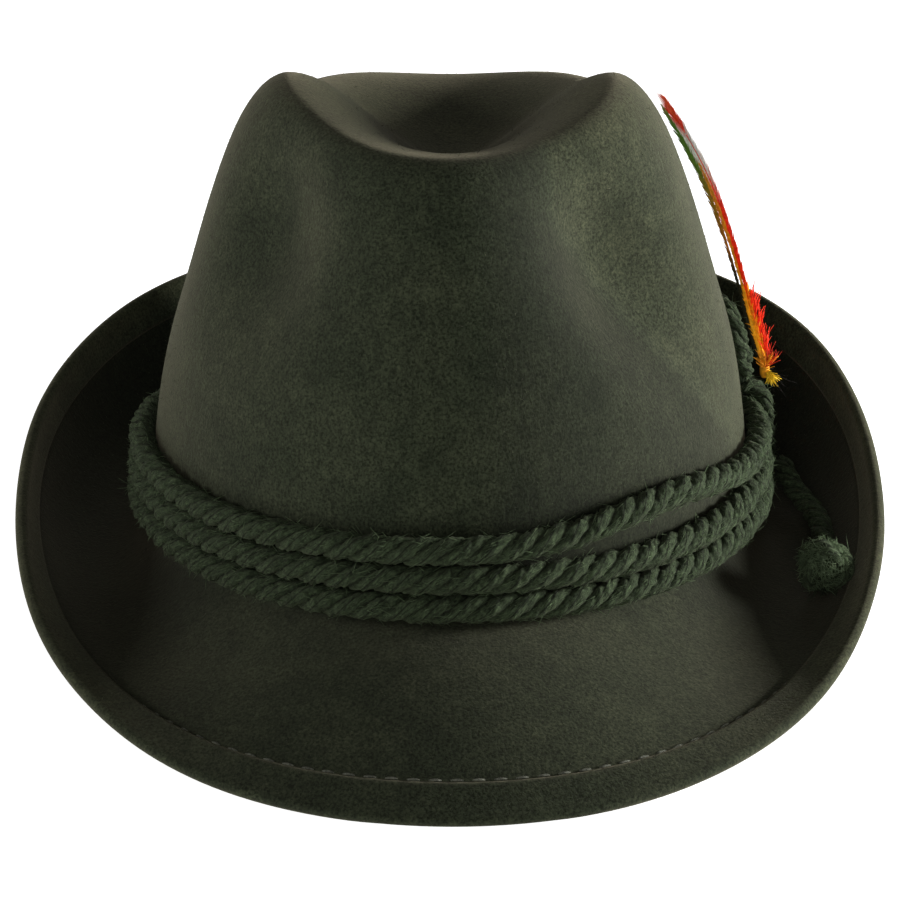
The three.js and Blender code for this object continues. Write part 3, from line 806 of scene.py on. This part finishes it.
# The loose fibres' level on this scale: a little paler than even
NAP_HAIR_LEVEL = 0.62
PAST_PINCH_PAINTED_LIGHT = 0.1  # what these places add to the even level, as painted light
PAST_PINCH_TOP_PAINTED_LIGHT = 0.12
BESIDE_PINCH_PAINTED_SHADE = -0.27
BRIM_HOLLOW_PAINTED_SHADE = -0.46
BRIM_RIM_PAINTED_LIGHT = 0.3
# The left pinch's edge, in degrees from the front: at this height and above it, and its slant below
PINCH_EDGE = {"azimuth": 20, "height": 0.78, "slant": 84}


def wear(points):
    """Painted light from the left pinch round to the side, in the dent and along the rim, and painted shade
    beside the pinch and in the hollows of the brim."""
    azimuth = np.degrees(np.arctan2(points[..., 0] / BREAK_WIDTH, -points[..., 1] / BREAK_LENGTH))
    height = points[..., 2] / CROWN_HEIGHT
    edge = PINCH_EDGE["azimuth"] + PINCH_EDGE["slant"] * np.maximum(0, PINCH_EDGE["height"] - height)
    past = rising(azimuth, edge - 3, edge + 4)
    beside = rising(azimuth, 2, 13) * (1 - past) * rising(-height, -1.0, -0.9)
    paler = PAST_PINCH_PAINTED_LIGHT + PAST_PINCH_TOP_PAINTED_LIGHT * rising(height, 0.84, 0.98)
    crown = EVEN_PAINTED_LIGHT + paler * past * rising(-azimuth, -150, -60) + BESIDE_PINCH_PAINTED_SHADE * beside
    low_side = rising(np.abs(azimuth), 28, 62) * rising(-np.abs(azimuth), -150, -118)
    row = np.arange(len(points), dtype=float)[:, None]
    crown_rows = DENT_RINGS + WALL_RINGS
    brim_share = np.clip((row - crown_rows) / (len(points) - 1 - crown_rows), 0, 1)
    hollow = low_side * rising(-brim_share, -0.9, -0.72)
    rim = low_side * rising(brim_share, 0.86, 0.97)
    brim = EVEN_PAINTED_LIGHT + BRIM_HOLLOW_PAINTED_SHADE * hollow + BRIM_RIM_PAINTED_LIGHT * rim
    dent = np.full_like(azimuth, DENT_PAINTED_LIGHT)
    in_dent = rising(-row, -DENT_RINGS - 2, -DENT_RINGS + 3)
    return np.where(row >= crown_rows, brim, crown * (1 - in_dent) + dent * in_dent)


NAP_HAIRS = 5600
NAP_LENGTH = 0.0013
NAP_RADIUS = 0.00005


def felt_nap(build, surface, normal):
    """The fine loose fibres that stand off felt and soften its outline."""
    area = np.linalg.norm(np.cross(np.gradient(surface, axis=0), np.gradient(surface, axis=1)), axis=-1)
    picked = RNG.choice(area.size, NAP_HAIRS, p=(area / area.sum()).ravel())
    roots, up = surface.reshape(-1, 3)[picked], normal.reshape(-1, 3)[picked]
    lying = np.cross(up, unit(RNG.normal(0, 1, (NAP_HAIRS, 3))))
    roots = roots + lying * RNG.uniform(0, 0.0012, (NAP_HAIRS, 1))
    way = unit(up * RNG.uniform(0.15, 0.9, (NAP_HAIRS, 1)) + lying)
    lengths = NAP_LENGTH * RNG.uniform(0.4, 1, NAP_HAIRS)
    fibres(build, roots, way, lengths, NAP_RADIUS, 0.2, segments=1, wear=NAP_HAIR_LEVEL)


def felt_body():
    rings, above, below = felt_rings()
    # The map of painted light and shade, taken from the rings before they are softened
    nap_and_painted_light = wear(rings)
    welt = -len(WELT_SHARES)
    rings = np.concatenate([softened(rings[:welt], SOFTENING_PASSES), rings[welt:]])
    across = np.gradient(rings, axis=0)
    around = np.roll(rings, -1, 1) - np.roll(rings, 1, 1)
    normal = unit(np.cross(across, around))
    rings = uneven(rings, normal)
    upper = rings + normal * above[:, None, None]
    lower = rings - normal * below[:, None, None]
    middle = (upper[-1] + lower[-1]) / 2
    half = (upper[-1] - lower[-1]) / 2
    out = unit(rings[-1] - rings[-2]) * np.linalg.norm(half, axis=-1, keepdims=True)
    turns = np.linspace(0, math.pi, EDGE_RINGS + 2)[1:-1]
    edge = [middle + half * math.cos(turn) + out * math.sin(turn) for turn in turns]
    grid = np.concatenate([upper, np.array(edge), lower[::-1]])
    rows = len(grid)
    pole = rings[0].mean(0)
    points = to_row(np.vstack([grid.reshape(-1, 3), pole + (0, 0, FELT_HALF), pole - (0, 0, FELT_HALF)]))
    points[:, 2] = np.maximum(points[:, 2], 0)
    faces = []
    for i in range(rows - 1):
        a, b = i * FELT_COLUMNS, (i + 1) * FELT_COLUMNS
        for j in range(FELT_COLUMNS):
            k = (j + 1) % FELT_COLUMNS
            faces.append((a + j, b + j, b + k, a + k))
    top, last = rows * FELT_COLUMNS, (rows - 1) * FELT_COLUMNS
    bottom = top + 1
    for j in range(FELT_COLUMNS):
        k = (j + 1) % FELT_COLUMNS
        faces.append((top, j, k))
        faces.append((bottom, last + k, last + j))
    nap_and_painted_light = np.concatenate([nap_and_painted_light, np.repeat(nap_and_painted_light[-1:], len(edge), 0), nap_and_painted_light[::-1]])
    build = Build()
    build.add(points, faces, wear=np.append(nap_and_painted_light.ravel(), [nap_and_painted_light[0, 0], nap_and_painted_light[0, 0]]))
    felt_nap(build, to_row(upper), to_row(upper + normal) - to_row(upper))
    felt = build.object("felt_hat", FELT)
    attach(felt, "root")
    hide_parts("felt_body")


felt_body()


# The band, its binding and its loop
WRAP_PITCH = 0.015
WRAP_STEPS = 110
LOOP_STEPS = 150
END_TAPER = 0.002
FROM_OVER_THE_TOP = np.radians([-25, 0, 30, 60, 90])
ROUND_THE_BOTTOM = np.radians([90, 120, 145])
OVER_THE_BEND = np.radians([-90, -60, -30, 0, 30, 60, 90])


def band_turn(turn, name):
    azimuth = full_turn(BAND_COLUMNS)
    build = Build()
    rope(build, to_row(turn_centre(turn, azimuth)), CORD_RADIUS, (0, 0, 1), closed=True)
    piece = build.object(name + "_rope", ROPE)
    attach(piece, "root")
    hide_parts(name)


def turn_centre(turn, azimuth):
    return beside_crown(azimuth, CLEARANCE + CORD_RADIUS, turn_height(turn, azimuth))


def round_a_turn(centre, azimuth, reach, turn):
    """A point round a turn of the band; the angle counts from straight up, outwards."""
    return centre + reach * (outward(azimuth) * math.sin(turn) + np.array([0, 0, math.cos(turn)]))


def wrap_path(azimuth):
    top = turn_centre(BAND_TURNS - 1, azimuth)
    bottom = turn_centre(0, azimuth)
    reach = CORD_RADIUS + CLEARANCE + WRAP_RADIUS
    points = [round_a_turn(top, azimuth, reach, turn) for turn in FROM_OVER_THE_TOP]
    low = bottom + reach * outward(azimuth)
    points.append((points[-1] + low) / 2)
    points += [round_a_turn(bottom, azimuth, reach, turn) for turn in ROUND_THE_BOTTOM]
    return smooth_curve(to_row(points), WRAP_STEPS)


def binding():
    build = Build()
    step = math.radians(1)
    pace = np.linalg.norm(turn_centre(0, BINDING_AZIMUTH + step) - turn_centre(0, BINDING_AZIMUTH)) / step
    apart = WRAP_SPACING * WRAP_DIAMETER / pace
    for i in range(WRAP_TURNS):
        azimuth = np.float64(BINDING_AZIMUTH + (i - (WRAP_TURNS - 1) / 2) * apart)
        rope(build, wrap_path(azimuth), WRAP_RADIUS, (0, 1, 0), pitch=WRAP_PITCH, taper=END_TAPER)
    piece = build.object("binding_rope", ROPE)
    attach(piece, "root")
    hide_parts("side_knot")


def loop():
    first, last = LOOP_LEGS
    top_turn = turn_height(BAND_TURNS - 1, np.float64(BINDING_AZIMUTH))
    foot = top_turn + CORD_RADIUS + CLEARANCE + WRAP_DIAMETER + CLEARANCE
    offset = CLEARANCE + CORD_RADIUS
    middle, half = (first + last) / 2, (last - first) / 2
    crest = foot + LOOP_HEIGHT - CORD_RADIUS
    bend = np.linalg.norm(beside_crown(last, offset, crest) - beside_crown(first, offset, crest)) / 2
    straight = foot + LOOP_FOOT * LOOP_HEIGHT
    points = [beside_crown(first, offset, foot), beside_crown(first, offset, straight)]
    for turn in OVER_THE_BEND:
        azimuth = middle + half * math.sin(turn)
        points.append(beside_crown(azimuth, offset, crest - bend + bend * math.cos(turn)))
    points += [beside_crown(last, offset, straight), beside_crown(last, offset, foot)]
    build = Build()
    rope(build, smooth_curve(to_row(points), LOOP_STEPS), CORD_RADIUS, (1, 0, 0), taper=END_TAPER)
    piece = build.object("loop_rope", ROPE)
    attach(piece, "root")
    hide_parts("cord_loop")


for index, node in enumerate(("cord_lower", "cord_middle", "cord_upper")):
    band_turn(index, node)
binding()
loop()

# The plume: each feather's colours by the share of the way from its foot to its tip
WHITE_VANE = (0.85, 0.82, 0.78)
PLUME_COLOURS = {
    "red": (
        (0.0, (0.9, 0.42, 0.01)),
        (0.14, (0.85, 0.26, 0.008)),
        (0.26, (0.85, 0.03, 0.002)),
        (0.55, (0.85, 0.045, 0.02)),
        (0.63, (0.8, 0.45, 0.38)),
        (0.69, WHITE_VANE),
        (0.8, WHITE_VANE),
        (0.86, (0.88, 0.03, 0.004)),
        (1.0, (0.88, 0.14, 0.05)),
    ),
    "orange": (
        (0.0, (0.85, 0.4, 0.02)),
        (0.5, (0.8, 0.28, 0.01)),
        (1.0, (0.7, 0.3, 0.03)),
    ),
    "green": (
        (0.0, (0.01, 0.012, 0.007)),
        (0.32, (0.02, 0.017, 0.006)),
        (0.42, (0.4, 0.13, 0.01)),
        (0.6, (0.36, 0.2, 0.02)),
        (0.72, (0.1, 0.2, 0.02)),
        (0.92, (0.1, 0.22, 0.03)),
        (1.0, (0.3, 0.25, 0.06)),
    ),
}
# Painted light: how strongly the feathers glow with their own colour
PLUME_GLOW = 0.22
# How far each vane is turned to show its face to the front, and the shares of its two sides
VANE_TWIST = math.radians(19)
VANE_SIDES = {"red": (1.25, 0.5), "orange": (0.3, 0.3), "green": (0.6, 0.34)}
FOOT_BARBS = (
    {"count": 150, "reach": 0.22, "aside": (0.1, 0.42), "length": 0.0058, "share": 0.34},
    {"count": 120, "reach": 0.24, "aside": (-0.2, 0.16), "length": 0.0046, "share": 0.05},
)
FOOT_BARB_RADIUS = 0.00026
FOOT_BARB_SPREAD = 0.003
FOOT_BARB_SWAY = 0.16
BARB_SPACING = 0.00055
BARB_ANGLE = math.radians(38)
BARB_RADIUS = 0.00042
BARB_FLATNESS = 0.3
BARB_CURL = 0.16  # how far its end bends on towards the tip, as a share of its length
BARB_RIPPLE = 0.00012
QUILL_RADIUS = 0.0005
LINE_STEPS = 400
QUILL_STEPS = 120
# The red feather's quill doesn't turn white with its barbs, but only past this share of its length
QUILL_TONE = {"until": 0.84, "share": 0.5}


def tuft_centre():
    reach = CORD_RADIUS + CLEARANCE + WRAP_DIAMETER + CLEARANCE + TUFT_HEIGHT / 2
    azimuth = np.float64(BINDING_AZIMUTH)
    return round_a_turn(turn_centre(BAND_TURNS - 1, azimuth), azimuth, reach, TUFT_LEAN)


def plume_line(feather):
    order = FEATHERS.index(feather)
    foot = tuft_centre() + (-order * (VANE_THICKNESS + CLEARANCE), TUFT_DEPTH / 4, TUFT_HEIGHT / 2)
    sizes = (-PLUME_LEAN_IN, PLUME_LEAN_BACK, PLUME_HEIGHT)
    rows = np.stack([PLUME_INWARD, PLUME_BACK, PLUME_RISE], -1) * sizes
    whole = evenly(smooth_curve(to_row(foot + rows), LINE_STEPS), LINE_STEPS)
    return evenly(whole[: int(LINE_STEPS * feather["reach"])], QUILL_STEPS)


def foot_barbs(build, line, along, face):
    """Loose downy barbs at the foot: red ones that stand off outward, yellow ones close along the quill."""
    for group in FOOT_BARBS:
        count = group["count"]
        at = (RNG.uniform(0, group["reach"], count) * len(line)).astype(int)
        aside = RNG.uniform(*group["aside"], count)[:, None]
        sway = RNG.normal(0, FOOT_BARB_SWAY, (count, 3))
        way = unit(along[at] + face[at] * aside + sway)
        lengths = group["length"] * RNG.uniform(0.5, 1, count)
        roots = line[at] + face[at] * aside * FOOT_BARB_SPREAD
        fibres(build, roots, way, lengths, FOOT_BARB_RADIUS, 0.12, share=group["share"])


def feather_piece(feather):
    colour = feather["colour"]
    line = plume_line(feather)
    share = np.linspace(0, 1, len(line))
    along = unit(np.gradient(line, axis=0))
    back = np.array([0, math.cos(LEAN), -math.sin(LEAN)])
    flat = unit(back - along * (along @ back)[:, None])
    face = np.cross(flat, along)
    face = face * np.sign(face[:, :1])
    across = flat * math.cos(VANE_TWIST) - face * math.sin(VANE_TWIST)
    through = np.cross(across, along)
    build = Build()
    quill_share = share
    if colour == "red":
        held = np.minimum(share, QUILL_TONE["share"])
        quill_share = np.where(share < QUILL_TONE["until"], held, share)
    build.tube(line, across, through, QUILL_RADIUS * (1 - 0.6 * share), 8, share=quill_share)
    inner, outer = VANE_SIDES[colour]
    count = int(path_length(line) / BARB_SPACING)
    for i in range(count):
        at = (i + 0.5) / count
        k = min(int(at * (len(line) - 1)), len(line) - 2)
        half = VANE_FULL_WIDTH / 2 * feather["width"] * np.interp(at, VANE_ALONG, VANE_WIDTH)
        for way, side_share in ((-1, outer), (1, inner)):
            angle = BARB_ANGLE * RNG.uniform(0.9, 1.12)
            length = side_share * half / math.sin(angle) * RNG.uniform(0.88, 1.06)
            t = np.linspace(0, 1, 5)
            forward = t[:, None] * along[k] * math.cos(angle)
            aside = way * t[:, None] * across[k] * math.sin(angle)
            run = length * (forward + aside)
            curl = length * BARB_CURL * (t**2)[:, None] * along[k]
            ripple = through[k] * RNG.normal(0, BARB_RIPPLE) * t[:, None]
            barb = line[k] + run + curl + ripple
            side, upright = frames_along(barb, False, along[k])
            tone = float(np.clip(at + RNG.normal(0, 0.02), 0, 1))
            radius = BARB_RADIUS * (1 - 0.7 * t**2)
            build.tube(barb, side, upright, radius, 4, flat=BARB_FLATNESS, share=tone)
    if colour == "red":
        foot_barbs(build, line, along, face)
    material = plume_material("plume " + colour, PLUME_COLOURS[colour], PLUME_GLOW)
    piece = build.object("plume_" + colour, material)
    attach(piece, "root")
    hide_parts("feather_" + colour)


for plume_feather in FEATHERS:
    feather_piece(plume_feather)


# Yellow, orange, red and black
TUFT_COLOURS = (
    (0.0, (0.95, 0.62, 0.03)),
    (0.3, (0.9, 0.36, 0.02)),
    (0.55, (0.6, 0.03, 0.01)),
    (0.8, (0.01, 0.008, 0.006)),
)
# Painted light: how strongly the tuft's barbs glow with their own colour
TUFT_GLOW = 0.05
TUFT_ROOTS = 0.0014  # how far from the middle the barbs start
TUFT_HEAD = {
    "height": (-0.0028, -0.0018, 0, 0.002, 0.0032),
    "radius": (0.0008, 0.0013, 0.0015, 0.0012, 0.0008),
}
TUFT_BARBS = (
    {"count": 110, "share": 0.0, "toward": (0.9, -0.6, -0.9), "spread": 0.28, "length": 0.0036, "radius": 0.0004},
    {"count": 60, "share": 0.3, "toward": (-0.2, -0.3, 1.2), "spread": 0.35, "length": 0.005, "radius": 0.00026},
    {"count": 40, "share": 0.56, "toward": (0.5, -0.3, 1.4), "spread": 0.3, "length": 0.006, "radius": 0.00022},
    {"count": 16, "share": 0.9, "toward": (1.2, -0.4, -0.9), "spread": 0.45, "length": 0.0085, "radius": 0.00012},
)


def tuft():
    """Short loose barbs at the plume's foot: yellow outward and down, orange and red upward, a few black."""
    build = Build()
    centre = to_row(tuft_centre())
    rows = len(TUFT_HEAD["height"])
    head = np.array([[0, 0, height] for height in TUFT_HEAD["height"]]) + centre
    side, upright = np.tile([1.0, 0, 0], (rows, 1)), np.tile([0, 1.0, 0], (rows, 1))
    build.tube(head, side, upright, TUFT_HEAD["radius"], 10, share=0.3)
    for group in TUFT_BARBS:
        count = group["count"]
        way = unit(np.array(group["toward"]) + RNG.normal(0, group["spread"], (count, 3)))
        roots = centre + way * TUFT_ROOTS
        lengths = group["length"] * RNG.uniform(0.55, 1.05, count)
        fibres(build, roots, way, lengths, group["radius"], 0.2, share=group["share"])
    piece = build.object("tuft", plume_material("tuft barbs", TUFT_COLOURS, TUFT_GLOW))
    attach(piece, "root")
    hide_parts("feather_tuft")


tuft()

# The row of stitches that holds the folded edge
STITCH_LENGTH = 0.0031
STITCH_PITCH = 0.0054
STITCH_RADIUS = 0.00036
STITCH_INSET = 0.0101
STITCH_POINTS = 7
STITCH_ARCH = 0.00028
STITCH_STANDOFF = 0.00012
# Degrees from the front where the stitches begin to sink into the felt, and where they end
STITCH_FADE = (32, 44)
STITCH_SINK = 0.0004
RIM_STEPS = 1440


def stitches():
    azimuth = full_turn(RIM_STEPS)
    length = brim_length(azimuth) - STITCH_INSET
    points = brim_point(azimuth, length)
    inner = brim_point(azimuth, length - 0.001)
    normal = unit(np.cross(points - inner, np.roll(points, -1, 0) - np.roll(points, 1, 0)))
    line = to_row(points + normal * (FELT_HALF + STITCH_STANDOFF))
    up = to_row(points + normal) - to_row(points)
    closed = np.vstack([line, line[:1]])
    lengths = lengths_along(closed)
    count = int(lengths[-1] / STITCH_PITCH)
    pitch = lengths[-1] / count
    build = Build()
    for i in range(count):
        at = i * pitch + np.linspace(0, STITCH_LENGTH, STITCH_POINTS)
        k = int(np.searchsorted(lengths, at[STITCH_POINTS // 2])) % RIM_STEPS
        away = abs(math.degrees(turned(azimuth[k], 0)))
        if away > STITCH_FADE[1]:
            continue
        sunk = STITCH_SINK * rising(away, *STITCH_FADE)
        stitch = np.stack([np.interp(at, lengths, closed[:, axis]) for axis in range(3)], -1)
        arch = np.sin(np.linspace(0, np.pi, STITCH_POINTS))
        stitch = stitch + up[k] * (arch * STITCH_ARCH - STITCH_ARCH / 2 - sunk)[:, None]
        side, upright = frames_along(stitch, False, up[k])
        build.tube(stitch, side, upright, STITCH_RADIUS * (0.55 + 0.45 * arch), 8, strand=0.0)
    piece = build.object("brim_stitches", STITCH)
    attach(piece, "root")


stitches()


# Floor and light
FLOOR_SIZE = 60
FLOOR_COLOUR = (0.86, 0.86, 0.86)
FLOOR_GLOW = 1.05
WORLD_STRENGTH = 0.03
LIGHT_TARGET = Vector((0, 0, 0.05))
LIGHTS = (
    {"name": "right", "place": (1.2, 0.1, 0.24), "size": 0.3, "power": 31},
    {"name": "left", "place": (-1.2, 0, 0.25), "size": 0.3, "power": 6.5},
    {"name": "front", "place": (-0.1, -1.4, 0.5), "size": 0.6, "power": 4.2},
    {"name": "top", "place": (0, -0.5, 1.5), "size": 0.8, "power": 1.9},
    {"name": "back", "place": (0.2, 1.4, 0.7), "size": 0.6, "power": 2.2},
)


def floor_material(colour, glow):
    material, tree, shader = new_material("pale floor", 0.9)
    place = tree.nodes.new("ShaderNodeTexCoord").outputs["Object"]
    low = [0.985 * value for value in colour]
    tone = ramp(tree, noise(tree, place, 3), ((0.3, low), (0.7, colour)))
    tree.links.new(tone, shader.inputs["Base Color"])
    tree.links.new(tone, shader.inputs["Emission Color"])
    shader.inputs["Emission Strength"].default_value = glow
    return material


def studio():
    bpy.ops.mesh.primitive_plane_add(size=FLOOR_SIZE)
    floor = bpy.context.object
    floor.name = "floor"
    floor.data.materials.append(floor_material(FLOOR_COLOUR, FLOOR_GLOW))
    for facts in LIGHTS:
        data = bpy.data.lights.new(facts["name"], "AREA")
        data.size = facts["size"]
        data.energy = facts["power"]
        light = bpy.data.objects.new(facts["name"], data)
        light.location = facts["place"]
        light.rotation_euler = (LIGHT_TARGET - light.location).to_track_quat("-Z", "Y").to_euler()
        bpy.context.collection.objects.link(light)
    world = bpy.data.worlds.new("studio")
    world.use_nodes = True
    background = world.node_tree.nodes["Background"]
    background.inputs["Color"].default_value = (1, 1, 1, 1)
    background.inputs["Strength"].default_value = WORLD_STRENGTH
    bpy.context.scene.world = world
    bpy.context.scene.view_settings.view_transform = "Standard"


studio()
